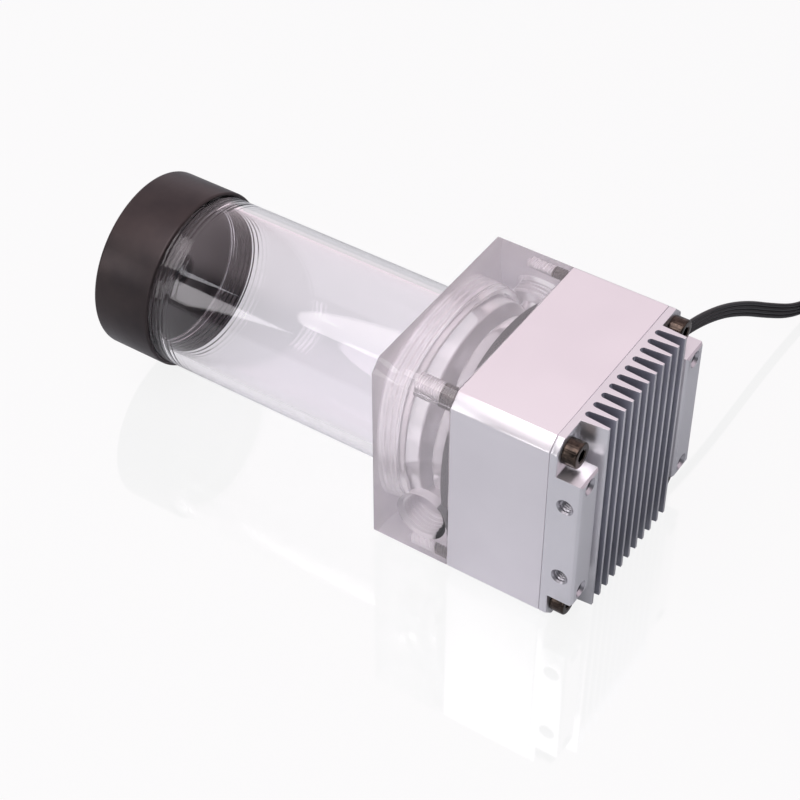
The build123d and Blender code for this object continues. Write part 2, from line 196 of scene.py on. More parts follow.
def worked(piece, tools, operation="DIFFERENCE"):
    """Cuts tools out of a piece, or joins them on, and clears the tools away."""
    for tool in tools:
        step = piece.modifiers.new("work", "BOOLEAN")
        step.operation = operation
        step.solver = "EXACT"
        step.object = tool
    settle(piece)
    for tool in tools:
        bpy.data.objects.remove(tool)
    return piece


def screw_places():
    for y in (-SCREW_OFFSET, SCREW_OFFSET):
        for z in (AXIS_Z - SCREW_OFFSET, AXIS_Z + SCREW_OFFSET):
            yield y, z


# ---- finishes ----
class Value:
    """A shader value, on which sums are written as plain expressions."""

    def __init__(self, finish, output):
        self.finish = finish
        self.output = output

    def _sum(self, operation, first, second):
        return self.finish.node("ShaderNodeMath", {"operation": operation}, {0: first, 1: second})

    def __add__(self, other):
        return self._sum("ADD", self, other)

    def __radd__(self, other):
        return self._sum("ADD", other, self)

    def __sub__(self, other):
        return self._sum("SUBTRACT", self, other)

    def __rsub__(self, other):
        return self._sum("SUBTRACT", other, self)

    def __mul__(self, other):
        return self._sum("MULTIPLY", self, other)

    def __rmul__(self, other):
        return self._sum("MULTIPLY", other, self)

    def __mod__(self, other):
        return self._sum("FLOORED_MODULO", self, other)

    def __rmod__(self, other):
        return self._sum("FLOORED_MODULO", other, self)

    def larger(self, other):
        return self._sum("MAXIMUM", self, other)

    def rise(self, low, high):
        """A smooth step from 0 at low to 1 at high."""
        return self.finish.node("ShaderNodeMapRange", {"interpolation_type": "SMOOTHSTEP"},
                                {"Value": self, "From Min": low, "From Max": high})


class Finish:
    """A procedural material or world, built node by node."""

    def __init__(self, tree, end):
        self.tree = tree
        tree.nodes.clear()
        self.end = tree.nodes.new(end)

    def node(self, kind, settings=None, sockets=None, output=0):
        made = self.tree.nodes.new(kind)
        for key, value in (settings or {}).items():
            setattr(made, key, value)
        for key, value in (sockets or {}).items():
            if isinstance(value, Value):
                self.tree.links.new(value.output, made.inputs[key])
            else:
                made.inputs[key].default_value = value
        return Value(self, made.outputs[output])

    def place(self):
        """Where a point lies on its piece, in metres of the model's frame."""
        return self.node("ShaderNodeTexCoord", output="Object")

    def facing(self):
        """The true normal of the surface."""
        return self.node("ShaderNodeNewGeometry", output="True Normal")

    def part(self, vector, axis):
        return self.node("ShaderNodeSeparateXYZ", sockets={0: vector}, output=axis)

    def grain(self, scale, detail=2.0, rough=0.5, stretch=None):
        """Noise from 0 to 1. stretch squeezes it along the axes."""
        place = self.place()
        if stretch:
            place = self.node("ShaderNodeVectorMath", {"operation": "MULTIPLY"}, {0: place, 1: stretch})
        return self.node("ShaderNodeTexNoise", sockets={"Vector": place, "Scale": scale, "Detail": detail,
                                                        "Roughness": rough})

    def blend(self, share, first, second):
        """A mix of two colours."""
        sockets = {0: share, 6: first if isinstance(first, Value) else (*first, 1.0),
                   7: second if isinstance(second, Value) else (*second, 1.0)}
        return self.node("ShaderNodeMix", {"data_type": "RGBA"}, sockets, output=2)

    def relief(self, height, depth, strength=1.0):
        """A bump of the given depth in metres."""
        return self.node("ShaderNodeBump", sockets={"Height": height, "Distance": depth,
                                                    "Strength": strength})

    def skin(self, **sockets):
        named = {key.replace("_", " "): value for key, value in sockets.items()}
        for key in ("Base Color", "Emission Color"):
            if key in named and not isinstance(named[key], Value):
                named[key] = (*named[key], 1.0)
        return self.node("ShaderNodeBsdfPrincipled", sockets=named)

    def ends_in(self, shader):
        self.tree.links.new(shader.output, self.end.inputs[0])


def new_finish(name):
    material = bpy.data.materials.new(name)
    material.use_nodes = True
    return material, Finish(material.node_tree, "ShaderNodeOutputMaterial")


def silver_anodised(name, light, shade, metal, rough):
    """Finely blasted aluminium, silver anodised."""
    material, finish = new_finish(name)
    blast = finish.grain(5200.0, 3.0, 0.6)
    cloud = finish.grain(38.0, 2.0, 0.5)
    colour = finish.blend(cloud.rise(0.3, 0.75) * 0.6 + blast * 0.25, light, shade)
    finish.ends_in(finish.skin(Base_Color=colour, Metallic=metal, Roughness=rough + blast * 0.12,
                               Normal=finish.relief(blast, 0.000012, 0.5)))
    return material


def turned_black(name):
    """Turned and blackened, with faint tool rings."""
    material, finish = new_finish(name)
    ring = finish.grain(1.0, 2.0, 0.6, (2600.0, 30.0, 30.0))
    cloud = finish.grain(60.0, 3.0, 0.6)
    colour = finish.blend(cloud.rise(0.25, 0.8), (0.043, 0.0365, 0.0375), (0.066, 0.053, 0.0515))
    round_wall = 1.0 - finish.part(finish.facing(), 0).larger(finish.part(finish.facing(), 0) * -1.0)
    finish.ends_in(finish.skin(Base_Color=colour, Metallic=0.8, Roughness=0.32 + ring * 0.1,
                               Specular_IOR_Level=0.2,
                               Normal=finish.relief(ring * round_wall, 0.00002, 0.5)))
    return material


def clear_plastic(name, tint, rough, haze, cloudy=(0.85, 0.85, 0.85), shade=(0.9, 0.89, 0.91)):
    """Clear acrylic. haze is the share of light that its cloudy skin scatters, in the cloudy colour.

    Light passes it, dimmed by shade at each face, so what stands inside and behind it is lit.
    """
    material, finish = new_finish(name)
    fine = finish.grain(900.0, 2.0, 0.5)
    cloud = finish.grain(70.0, 2.0, 0.5)
    colour = finish.blend(cloud, tint, tuple(min(1.0, part * 1.012) for part in tint))
    clear = finish.skin(Base_Color=colour, Roughness=rough * 0.85 + fine * rough * 0.3, IOR=1.49,
                        Transmission_Weight=1.0)
    if haze:
        skin = finish.skin(Base_Color=finish.blend(cloud, cloudy, tuple(part * 0.97 for part in cloudy)),
                           Roughness=0.3 + fine * 0.1, IOR=1.49)
        clear = finish.node("ShaderNodeMixShader", sockets={0: haze * 0.9 + cloud * haze * 0.2, 1: clear,
                                                            2: skin})
    through = finish.node("ShaderNodeBsdfTransparent", sockets={0: (*shade, 1.0)})
    shadow = finish.node("ShaderNodeLightPath", output="Is Shadow Ray")
    finish.ends_in(finish.node("ShaderNodeMixShader", sockets={0: shadow, 1: clear, 2: through}))
    return material


def black_nickel(name):
    """Dark bronze coloured plating of the cover screws."""
    material, finish = new_finish(name)
    wear = finish.grain(700.0, 4.0, 0.65)
    colour = finish.blend(wear.rise(0.35, 0.75), (0.036, 0.028, 0.024), (0.105, 0.08, 0.064))
    finish.ends_in(finish.skin(Base_Color=colour, Metallic=1.0, Roughness=0.16 + wear * 0.1,
                               Normal=finish.relief(wear, 0.00001, 0.4)))
    return material


def plain_metal(name, dark, bright, rough, stretch=(1.0, 1.0, 1.0), scale=1500.0):
    material, finish = new_finish(name)
    lines = finish.grain(scale, 3.0, 0.6, stretch)
    colour = finish.blend(lines, dark, bright)
    finish.ends_in(finish.skin(Base_Color=colour, Metallic=1.0, Roughness=rough + lines * 0.15,
                               Normal=finish.relief(lines, 0.00001, 0.5)))
    return material


def moulded(name, dark, bright, rough, scale=2200.0, depth=0.00002):
    """Moulded plastic, rubber or sintered ceramic with a fine skin."""
    material, finish = new_finish(name)
    skin = finish.grain(scale, 3.0, 0.6)
    cloud = finish.grain(scale / 40.0, 2.0, 0.5)
    colour = finish.blend(cloud * 0.7 + skin * 0.3, dark, bright)
    finish.ends_in(finish.skin(Base_Color=colour, Roughness=rough + skin * 0.12,
                               Normal=finish.relief(skin, depth, 0.6)))
    return material


def stacked_sheet(name):
    """The stator core's sheets, 0.5 mm thick, seen as fine lines."""
    material, finish = new_finish(name)
    x = finish.part(finish.place(), 0)
    seam = (x * 2000.0 % 1.0).rise(0.8, 0.95)
    colour = finish.blend(seam, (0.32, 0.32, 0.33), (0.1, 0.09, 0.09))
    finish.ends_in(finish.skin(Base_Color=colour, Metallic=0.8, Roughness=0.45 + seam * 0.2,
                               Normal=finish.relief(1.0 - seam, 0.00008, 0.6)))
    return material


def wound_copper(name):
    """Enamelled wire in close turns."""
    material, finish = new_finish(name)
    x = finish.part(finish.place(), 0)
    strand = finish.grain(900.0, 1.0, 0.5, (0.2, 1.0, 1.0))
    turn = (x * 3000.0 + strand * 2.0) % 1.0
    groove = turn.rise(0.6, 0.9)
    colour = finish.blend(groove, (0.62, 0.28, 0.12), (0.2, 0.07, 0.03))
    finish.ends_in(finish.skin(Base_Color=colour, Metallic=0.7, Roughness=0.28 + groove * 0.2,
                               Coat_Weight=0.5, Normal=finish.relief(1.0 - groove, 0.0001, 0.5)))
    return material


def masked_board(name):
    """Green circuit board with copper lines under its mask."""
    material, finish = new_finish(name)
    place = finish.node("ShaderNodeVectorMath", {"operation": "SCALE"}, {0: finish.place(), 3: 420.0})
    track = finish.node("ShaderNodeTexVoronoi", {"feature": "DISTANCE_TO_EDGE"},
                        {"Vector": place, "Scale": 1.0})
    line = 1.0 - track.rise(0.04, 0.09)
    colour = finish.blend(line, (0.02, 0.11, 0.05), (0.06, 0.24, 0.11))
    finish.ends_in(finish.skin(Base_Color=colour, Roughness=0.35 + line * 0.1,
                               Normal=finish.relief(line, 0.00003, 0.6)))
    return material


def wear(piece, material):
    piece.data.materials.clear()
    piece.data.materials.append(material)


cover_metal = silver_anodised("silver anodised cover", (0.87, 0.845, 0.87), (0.81, 0.785, 0.812),
                              0.85, 0.26)
fin_metal = silver_anodised("silver anodised heatsink", (0.79, 0.782, 0.805), (0.73, 0.725, 0.75),
                            0.88, 0.24)
# A darker, bluish copy of the heatsink metal: painted shade on the slot walls and floors between the fins.
slot_shade_metal = silver_anodised("milled slot walls with painted shade", (0.4, 0.405, 0.46), (0.32, 0.325, 0.375), 0.88, 0.32)
# A darker copy of the heatsink metal: painted shade inside the tapped holes.
hole_shade_metal = silver_anodised("tapped hole walls with painted shade", (0.56, 0.55, 0.58), (0.44, 0.43, 0.46), 0.95, 0.26)
tube_clear = clear_plastic("clear tube acrylic", (0.962, 0.943, 0.968), 0.02, 0.0,
                           shade=(0.83, 0.84, 0.87))
block_polished = clear_plastic("polished block acrylic", (0.95, 0.925, 0.94), 0.025, 0.24,
                               (0.88, 0.83, 0.855))
block_milled = clear_plastic("milled block acrylic", (0.95, 0.93, 0.945), 0.2, 0.6, (0.86, 0.83, 0.855))
block_machined = clear_plastic("machined block acrylic", (0.93, 0.91, 0.925), 0.12, 0.3,
                               (0.88, 0.85, 0.87))
block_tapped = clear_plastic("tapped block acrylic", (0.94, 0.92, 0.93), 0.1, 0.5, (0.93, 0.9, 0.92))
cap_black = turned_black("turned black cap")
screw_metal = black_nickel("black nickel screws")
thread_metal = plain_metal("screw thread in the block", (0.1, 0.085, 0.078), (0.34, 0.3, 0.28), 0.22)
silicone = moulded("clear silicone seal", (0.62, 0.6, 0.61), (0.75, 0.73, 0.74), 0.35, 1500.0)
cable_skin = moulded("black wire insulation", (0.012, 0.012, 0.013), (0.028, 0.028, 0.03), 0.4, 1400.0)
rubber = moulded("black seal rubber", (0.014, 0.014, 0.014), (0.03, 0.03, 0.03), 0.55, 1800.0)
housing_black = moulded("moulded black motor housing", (0.016, 0.016, 0.017), (0.032, 0.032, 0.033), 0.4)
plug_black = moulded("satin black fill plug", (0.016, 0.016, 0.017), (0.03, 0.03, 0.032), 0.32, 2400.0)
finish_of = {
    "tube_o_ring": silicone,
    "pump_o_ring": silicone,
    "cap_o_ring": rubber,
    "fill_o_ring": rubber,
    "motor_housing": housing_black,
    "separation_cup": plain_metal("drawn stainless cup", (0.42, 0.42, 0.43), (0.62, 0.62, 0.63), 0.22,
                                  (1.0, 0.1, 0.1)),
    "bearing_post": plain_metal("ground stainless post", (0.48, 0.48, 0.49), (0.62, 0.62, 0.63), 0.16),
    "bearing_ball": moulded("white ceramic ball", (0.8, 0.8, 0.78), (0.86, 0.86, 0.84), 0.12, 2600.0,
                            0.000004),
    "stator_core": stacked_sheet("laminated stator sheet"),
    "stator_coils": wound_copper("enamelled copper winding"),
    "circuit_board": masked_board("green masked board"),
    "board_parts": moulded("black component cases", (0.02, 0.02, 0.022), (0.05, 0.05, 0.052), 0.45),
    "motor_lid": plain_metal("milled motor lid", (0.46, 0.46, 0.47), (0.64, 0.64, 0.65), 0.3,
                             (1.0, 0.05, 1.0)),
    "thermal_pad": moulded("grey heat pad", (0.33, 0.35, 0.38), (0.42, 0.44, 0.47), 0.75, 1200.0, 0.00005),
    "rotor_magnet": moulded("sintered ferrite magnet", (0.05, 0.05, 0.053), (0.085, 0.085, 0.09), 0.42,
                            3200.0),
    "rotor_bearing": moulded("carbon bearing", (0.018, 0.018, 0.019), (0.04, 0.04, 0.042), 0.3, 3600.0),
    "impeller": moulded("pale impeller plastic", (0.36, 0.36, 0.37), (0.46, 0.46, 0.47), 0.42),
    "cable_grommet": rubber,
    "cable_connector": moulded("black nylon connector", (0.02, 0.02, 0.021), (0.045, 0.045, 0.047), 0.42,
                               1600.0),
    "cable_terminals": plain_metal("tinned brass terminals", (0.6, 0.5, 0.28), (0.82, 0.74, 0.5), 0.2),
}
for node_name, material in finish_of.items():
    wear(nodes[node_name], material)

# ---- cable ----
CABLE_EXIT = (21.0, 37.5, 33.0)
CABLE_RUN = [CABLE_EXIT, (21.0, 47.5, 33.0), (22.6, 59.5, 31.9), (24.9, 72.0, 28.2), (27.3, 84.0, 21.8),
             (30.0, 95.5, 13.8), (32.9, 107.0, 6.6), (35.2, 118.5, 2.9)]
COIL_CENTRE = (63.5, 130.0)
COIL_TURN = 27.0
COIL_STEP = 22.0                  # degrees between the coil's points
COIL_WOUND = 529.4                # degrees, clockwise from the far left
CABLE_TAIL = [(91.0, 122.0, 7.3), (89.5, 111.0, 5.6), (87.0, 100.0, 4.0), (87.0, 89.5, 4.0)]
WIRE_RADIUS = 0.62
WIRE_SIDES = 10
WIRE_OFFSETS = (-1.8, -0.6, 0.6, 1.8)
FIRST_TURN = 2.4                  # height of the lower turn's middle
TURN_LIFT = 4.9                   # from the lower turn to the upper one
LIFT_FROM, LIFT_RUN = 235.0, 110.0


def eased(value):
    """A smooth step from 0 to 1."""
    value = min(1.0, max(0.0, value))
    return value * value * (3.0 - 2.0 * value)


def coil_points():
    """Two turns, the second lying on the first."""
    reach = COIL_TURN / math.cos(math.radians(COIL_STEP / 2))
    count = round(COIL_WOUND / COIL_STEP)
    for number in range(count + 1):
        wound = COIL_WOUND * number / count
        angle = math.radians(180.0 - wound)
        height = FIRST_TURN + TURN_LIFT * eased((wound - LIFT_FROM) / LIFT_RUN)
        yield (COIL_CENTRE[0] + reach * math.cos(angle), COIL_CENTRE[1] + reach * math.sin(angle), height)


def cable_line():
    """The cable's middle line, read from one smooth curve through its route."""
    route = [at(*point) for point in CABLE_RUN + list(coil_points()) + CABLE_TAIL]
    curve = bpy.data.curves.new("cable route", "CURVE")
    curve.dimensions = "3D"
    spline = curve.splines.new("NURBS")
    spline.points.add(len(route) - 1)
    for point, place in zip(spline.points, route):
        point.co = (*place, 1.0)
    spline.order_u = 3
    spline.use_endpoint_u = True
    spline.resolution_u = 8
    holder = bpy.data.objects.new("cable route", curve)
    bpy.context.scene.collection.objects.link(holder)
    bpy.context.view_layer.update()
    mesh = bpy.data.meshes.new_from_object(holder.evaluated_get(bpy.context.evaluated_depsgraph_get()))
    line = [vertex.co.copy() for vertex in mesh.vertices]
    bpy.data.objects.remove(holder)
    return line


def flat_cable(line):
    """Four wires side by side, standing on edge, along the line."""
    shape = bmesh.new()
    for offset in WIRE_OFFSETS:
        rings = []
        for number, point in enumerate(line):
            before = line[max(0, number - 1)]
            after = line[min(len(line) - 1, number + 1)]
            ahead = (after - before).normalized()
            level = ahead.cross(Vector((0, 0, 1))).normalized()
            upward = level.cross(ahead).normalized()
            centre = point + upward * (offset * MM)
            angles = [FULL_TURN * side / WIRE_SIDES for side in range(WIRE_SIDES)]
            rings.append([shape.verts.new(centre + (level * math.cos(angle) + upward * math.sin(angle))
                                          * (WIRE_RADIUS * MM)) for angle in angles])
        for ring, following in zip(rings, rings[1:]):
            for side in range(WIRE_SIDES):
                after = (side + 1) % WIRE_SIDES
                shape.faces.new([ring[side], ring[after], following[after], following[side]])
        shape.faces.new(rings[0])
        shape.faces.new(rings[-1])
    return into_piece("cable_ribbon", shape, 50.0)


cable_path = cable_line()
cable = flat_cable(cable_path)
wear(cable, cable_skin)
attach(cable, "pump")
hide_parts("cable", "cable_coil", "cable_tail")
at(*CABLE_EXIT)


# ---- screws ----
SCREW_PITCH = 0.7
SCREW_TIP = -4.9
SCREW_RADIUS = 2.0
HEAD_RADIUS = 3.5
HEAD_TOP = POCKET_FLOOR + 4.0
KNURLS = 30
KNURL_DEPTH = 0.05
METRIC_THREAD = 0.34              # depth
KEY_RADIUS = 1.5                  # to a flat of the key's hexagon
KEY_CORNER = 1.73
KEY_DEPTH = 2.2


def screw_form(along, radius, angle):
    if radius > 3.3 and POCKET_FLOOR + 0.5 < along < HEAD_TOP - 0.5:
        return radius - KNURL_DEPTH * abs(math.sin(angle * KNURLS / 2))
    if abs(radius - SCREW_RADIUS) < 0.01:
        depth = METRIC_THREAD * fade(along, SCREW_TIP + 0.3, 1.5, 0.35)
        return radius - depth * thread_valley(along, angle, SCREW_PITCH)
    return radius


def cover_screw_shape(shape, y, z, turn):
    outline = [(SCREW_TIP, 0.0), (SCREW_TIP, 1.35)]
    outline += wall(SCREW_TIP + 0.45, 2.0, SCREW_RADIUS, 70)
    outline += [(POCKET_FLOOR, SCREW_RADIUS), (POCKET_FLOOR, HEAD_RADIUS - 0.25)]
    outline += corner_arc((POCKET_FLOOR + 0.25, HEAD_RADIUS - 0.25), 0.25, 180.0, 90.0, 3)
    outline += [(POCKET_FLOOR + 0.6, HEAD_RADIUS), (HEAD_TOP - 0.75, HEAD_RADIUS)]
    outline += corner_arc((HEAD_TOP - 0.45, HEAD_RADIUS - 0.45), 0.45, 90.0, 0.0, 5)
    outline += [(HEAD_TOP, 2.0), (HEAD_TOP - 0.18, KEY_CORNER + 0.05)]
    # the key's hexagon, then its drilled bottom
    outline += [(HEAD_TOP - 0.22, KEY_CORNER), (HEAD_TOP - KEY_DEPTH, KEY_CORNER),
                (HEAD_TOP - KEY_DEPTH, KEY_RADIUS - 0.3), (HEAD_TOP - KEY_DEPTH - 0.5, 0.0)]

    def form(along, radius, angle):
        if abs(radius - KEY_CORNER) < 0.001:
            sector = (angle + turn) % (FULL_TURN / 6) - FULL_TURN / 12
            return KEY_RADIUS / math.cos(sector)
        return screw_form(along, radius, angle)

    turned(shape, outline, at(0.0, y, z), steps=120, form=form)


def cover_screws():
    """Four screws, each with its hexagon at another angle."""
    shape = bmesh.new()
    for number, (y, z) in enumerate(screw_places()):
        cover_screw_shape(shape, y, z, 0.35 + 0.41 * number)
    return into_piece("cover_screws_knurled", shape, 32.0)


screws = cover_screws()
wear(screws, screw_metal)
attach(screws, "pump")
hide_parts("cover_screws")


# ---- clear block ----
TUBE_RADIUS = 25.0
TUBE_BORE = 22.0
TUBE_PITCH = 1.5
TUBE_THREAD = 0.5                 # depth
SOCKET_RADIUS = 25.1
SOCKET_THREAD_FROM, SOCKET_THREAD_TO = -22.5, -17.4
SEAL_INNER, SEAL_OUTER = 22.6, 24.4
TUBE_SEAL_FLOOR = -15.4
SUMP_RADIUS = 21.5
SUMP_CORNER = 0.6
PASSAGE_RADIUS = 5.8              # the threaded hole from the sump to the pump chamber
PASSAGE_FROM, PASSAGE_TO = -11.6, -9.6
PASSAGE_PITCH = 0.75
PASSAGE_THREAD = 0.4              # depth
CHAMBER_RADIUS = 18.5
CHAMBER_CORNER = 0.8
CHAMBER_EDGE = -1.24
RIM_SEAL_INNER, RIM_SEAL_FLOOR = 21.8, -3.2
RIM_END = -3.7
RECESS_INNER, RECESS_RADIUS = 23.8, 27.1
HOLE_RADIUS = 2.1
HOLE_DRILLED = -12.95
CLEAR_HOLE_RADIUS = 2.15
PORT_RADIUS = 6.5785
PORT_PITCH = 1.337
PORT_THREAD = 0.72                # depth
OUTLET = (-8.0, 17.0)
INLET = (-11.6, 31.5)


def socket_form(along, radius, angle):
    if radius > TUBE_RADIUS and SOCKET_THREAD_FROM - 0.1 < along < SOCKET_THREAD_TO + 0.1:
        cut = TUBE_THREAD * fade(along, SOCKET_THREAD_FROM, SOCKET_THREAD_TO, 0.7)
        return radius - cut * thread_valley(along, angle, TUBE_PITCH)
    if abs(radius - PASSAGE_RADIUS) < 0.01:
        cut = PASSAGE_THREAD * fade(along, PASSAGE_FROM, PASSAGE_TO, 0.3)
        return radius - cut * thread_valley(along, angle, PASSAGE_PITCH)
    return radius


def block_hollow():
    """Socket, sump, pump chamber and recess of the block, cut in one."""
    outline = [(BLOCK_END - 1.0, 0.0), (BLOCK_END - 1.0, 26.5), (SOCKET_THREAD_FROM - 0.1, SOCKET_RADIUS)]
    outline += wall(SOCKET_THREAD_FROM, SOCKET_THREAD_TO, SOCKET_RADIUS, 40)[1:-1]
    outline += [(SOCKET_FLOOR, SOCKET_RADIUS), (SOCKET_FLOOR, SEAL_OUTER), (TUBE_SEAL_FLOOR, SEAL_OUTER),
                (TUBE_SEAL_FLOOR, SEAL_INNER), (SOCKET_FLOOR, SEAL_INNER), (SOCKET_FLOOR, SUMP_RADIUS),
                (SUMP_FLOOR - SUMP_CORNER, SUMP_RADIUS)]
    outline += corner_arc((SUMP_FLOOR - SUMP_CORNER, SUMP_RADIUS - SUMP_CORNER), SUMP_CORNER, 90.0, 0.0, 4)
    outline += [(SUMP_FLOOR, PASSAGE_RADIUS + 0.6), (PASSAGE_FROM, PASSAGE_RADIUS + 0.2)]
    outline += wall(PASSAGE_FROM + 0.1, PASSAGE_TO - 0.1, PASSAGE_RADIUS, 24)
    outline += [(CHAMBER_TOP, PASSAGE_RADIUS + 0.1), (CHAMBER_TOP, CHAMBER_RADIUS - CHAMBER_CORNER)]
    outline += corner_arc((CHAMBER_TOP + CHAMBER_CORNER, CHAMBER_RADIUS - CHAMBER_CORNER), CHAMBER_CORNER,
                          180.0, 90.0, 4)
    outline += [(CHAMBER_EDGE, CHAMBER_RADIUS), (CHAMBER_EDGE, RIM_SEAL_INNER),
                (RIM_SEAL_FLOOR, RIM_SEAL_INNER), (RIM_SEAL_FLOOR, RECESS_INNER),
                (RIM_END - 0.06, RECESS_INNER), (RIM_END - 0.06, RECESS_RADIUS), (1.0, RECESS_RADIUS),
                (1.0, 0.0)]
    shape = turned(bmesh.new(), outline, at(0, 0, AXIS_Z), steps=144, form=socket_form)
    return into_piece("block hollow", shape)


def threaded_hole_form(along, radius, angle):
    if abs(radius - HOLE_RADIUS) < 0.01:
        cut = METRIC_THREAD * fade(along, -11.9, 0.3, 0.35)
        return radius - cut * thread_valley(along, angle, SCREW_PITCH)
    return radius


def blind_holes():
    shape = bmesh.new()
    outline = [(HOLE_DRILLED, 0.0), (HOLE_DRILLED + 0.95, 1.7)]
    outline += wall(-11.8, -0.4, HOLE_RADIUS, 130)
    outline += [(-0.25, HOLE_RADIUS + 0.02), (0.3, 2.7), (1.0, 2.7), (1.0, 0.0)]
    for y, z in screw_places():
        turned(shape, outline, at(0, y, z), steps=40, form=threaded_hole_form)
    return into_piece("blind holes", shape)


def port_form(depth):
    def form(along, radius, angle):
        if abs(radius - PORT_RADIUS) < 0.01:
            cut = PORT_THREAD * fade(along, 0.7, depth - 0.4, 0.5)
            return radius - cut * thread_valley(along, angle, PORT_PITCH)
        return radius
    return form


def port_hollow(name, x, z, side_way, depth, bore, bore_end):
    """A countersunk threaded port of the given depth, and the narrower bore behind it."""
    outline = [(-1.0, 0.0), (-1.0, PORT_RADIUS + 1.9), (0.85, PORT_RADIUS + 0.05)]
    outline += wall(0.9, depth - 0.5, PORT_RADIUS, int((depth - 1.4) / PORT_PITCH * 12))
    outline += [(depth, PORT_RADIUS - 0.5), (depth + 0.6, bore + 0.4), (depth + 0.9, bore), (bore_end, bore),
                (bore_end, 0.0)]
    start = at(x, -side_way * SIDE / 2, z)
    shape = turned(bmesh.new(), outline, start, (0, side_way, 0), form=port_form(depth))
    return into_piece(name, shape)


def clear_block():
    block = housing_bar("clear_block", BLOCK_END, -0.03, edge=0.22)
    worked(block, [block_hollow()])
    worked(block, [blind_holes()])
    outlet = port_hollow("outlet", *OUTLET, side_way=1, depth=8.0, bore=3.5, bore_end=20.5)
    inlet = port_hollow("inlet", *INLET, side_way=-1, depth=5.8, bore=3.0, bore_end=12.0)
    worked(block, [outlet])
    worked(block, [inlet])
    return block


def beside_screw(y, z):
    return min(math.hypot(y - screw_y, z - screw_z) for screw_y, screw_z in screw_places())


POLISHED, MACHINED, TAPPED, AGAINST_SCREW, AGAINST_RIM, MILLED = range(6)


def block_face_finish(x, y, z):
    """Which of the block's finishes a face at this place has, in mm from the joint."""
    from_middle = abs(z - AXIS_Z)
    radius = math.hypot(y, z - AXIS_Z)
    if y > SIDE / 2 - 0.3 or z < 0.3 or x < BLOCK_END + 0.1:
        return MILLED
    chamfered = abs(y) + from_middle > SIDE - EDGE_CHAMFER - 0.4
    if max(abs(y), from_middle) > SIDE / 2 - 0.3 or chamfered or x > -0.1:
        return POLISHED
    if beside_screw(y, z) < 2.9:
        return AGAINST_SCREW if x > SCREW_TIP else TAPPED
    if radius > RECESS_RADIUS - 0.1 and x > RIM_END - 0.1:
        return AGAINST_RIM
    return TAPPED if x < SOCKET_FLOOR - 0.3 and radius > SEAL_OUTER else MACHINED


def finish_block(piece):
    """Top and near side are polished, the other sides milled. Screws and rim show dark through the block."""
    for material in (block_machined, block_tapped, thread_metal, housing_black, block_milled):
        piece.data.materials.append(material)
    for face in piece.data.polygons:
        x, y, z = face.center / MM
        face.material_index = block_face_finish(x - JOINT_X, y, z)


block = clear_block()
wear(block, block_polished)
finish_block(block)
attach(block, "pump")
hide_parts("acrylic_block")


# ---- rim of the motor housing, seen through the block ----
RIM_BACK = -1.21
RIM_INNER, RIM_OUTER = 24.0, 26.95
RIM_ROUND = 0.3


def motor_rim():
    outline = [(RIM_BACK, RIM_INNER), (RIM_BACK, RIM_OUTER)]
    outline += corner_arc((RIM_END + RIM_ROUND, RIM_OUTER - RIM_ROUND), RIM_ROUND, 90.0, 180.0, 4)
    outline += corner_arc((RIM_END + RIM_ROUND, RIM_INNER + RIM_ROUND), RIM_ROUND, 180.0, 270.0, 4)
    return into_piece("motor_rim", turned(bmesh.new(), outline, at(0, 0, AXIS_Z), steps=144))


rim = motor_rim()
wear(rim, housing_black)
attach(rim, "pump")


# ---- tube ----
CAP_THREAD_TO = -94.6             # where the thread under the cap has run out
CAP_THREAD_SHARE = 0.6            # of the full depth


def tube_form(along, radius, angle):
    if abs(radius - TUBE_RADIUS) > 0.001:
        return radius
    run_out = min(1.0, (CAP_THREAD_TO + 0.6 - along) / 7.0)
    cut = fade(along, SOCKET_THREAD_FROM, SOCKET_THREAD_TO, 0.7)
    cut += CAP_THREAD_SHARE * fade(along, TUBE_END + 0.5, CAP_THREAD_TO, 0.8) * run_out
    return radius - TUBE_THREAD * cut * thread_valley(along, angle, TUBE_PITCH)


def clear_tube():
    """The tube. Close rings beside threads and rims keep its long walls' shading straight."""
    outline = [(TUBE_END + 0.02, TUBE_BORE + 0.4), (TUBE_END + 0.02, TUBE_RADIUS - 0.4)]
    outline += wall(TUBE_END + 0.45, CAP_THREAD_TO - 0.4, TUBE_RADIUS, 104)
    outline += [(CAP_THREAD_TO + 0.1, TUBE_RADIUS), (CAP_THREAD_TO + 0.3, TUBE_RADIUS),
                (SOCKET_THREAD_FROM - 0.4, TUBE_RADIUS)]
    outline += wall(SOCKET_THREAD_FROM - 0.1, SOCKET_THREAD_TO - 0.1, TUBE_RADIUS, 40)
    outline += [(SOCKET_FLOOR - 0.06, TUBE_RADIUS - 0.3), (SOCKET_FLOOR - 0.06, TUBE_BORE + 0.35),
                (SOCKET_FLOOR - 0.4, TUBE_BORE), (SOCKET_FLOOR - 0.45, TUBE_BORE),
                (TUBE_END + 0.47, TUBE_BORE), (TUBE_END + 0.42, TUBE_BORE)]
    shape = turned(bmesh.new(), outline, at(0, 0, AXIS_Z), steps=160, form=tube_form)
    return into_piece("clear_tube", shape, 60.0)


tube = clear_tube()
wear(tube, tube_clear)
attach(tube, "pump")
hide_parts("reservoir_tube")


# ---- cap ----
CAP_RADIUS = 26.1
CAP_ROUND, SKIRT_ROUND = 0.9, 0.7
CAP_SEAL_DEPTH = 1.6
FILL_PORT_FROM, FILL_PORT_TO = -118.6, -110.0
FILL_PORT_THREAD = 0.35           # depth
FILL_SINK_RADIUS = 8.5            # seat of the plug's ring seal
FILL_BORE = 4.5


def cap_form(along, radius, angle):
    if abs(radius - PORT_RADIUS) < 0.001:
        cut = FILL_PORT_THREAD * fade(along, FILL_PORT_FROM + 0.2, FILL_PORT_TO - 0.2, 0.6)
        return radius - cut * thread_valley(along, angle, PORT_PITCH)
    return radius


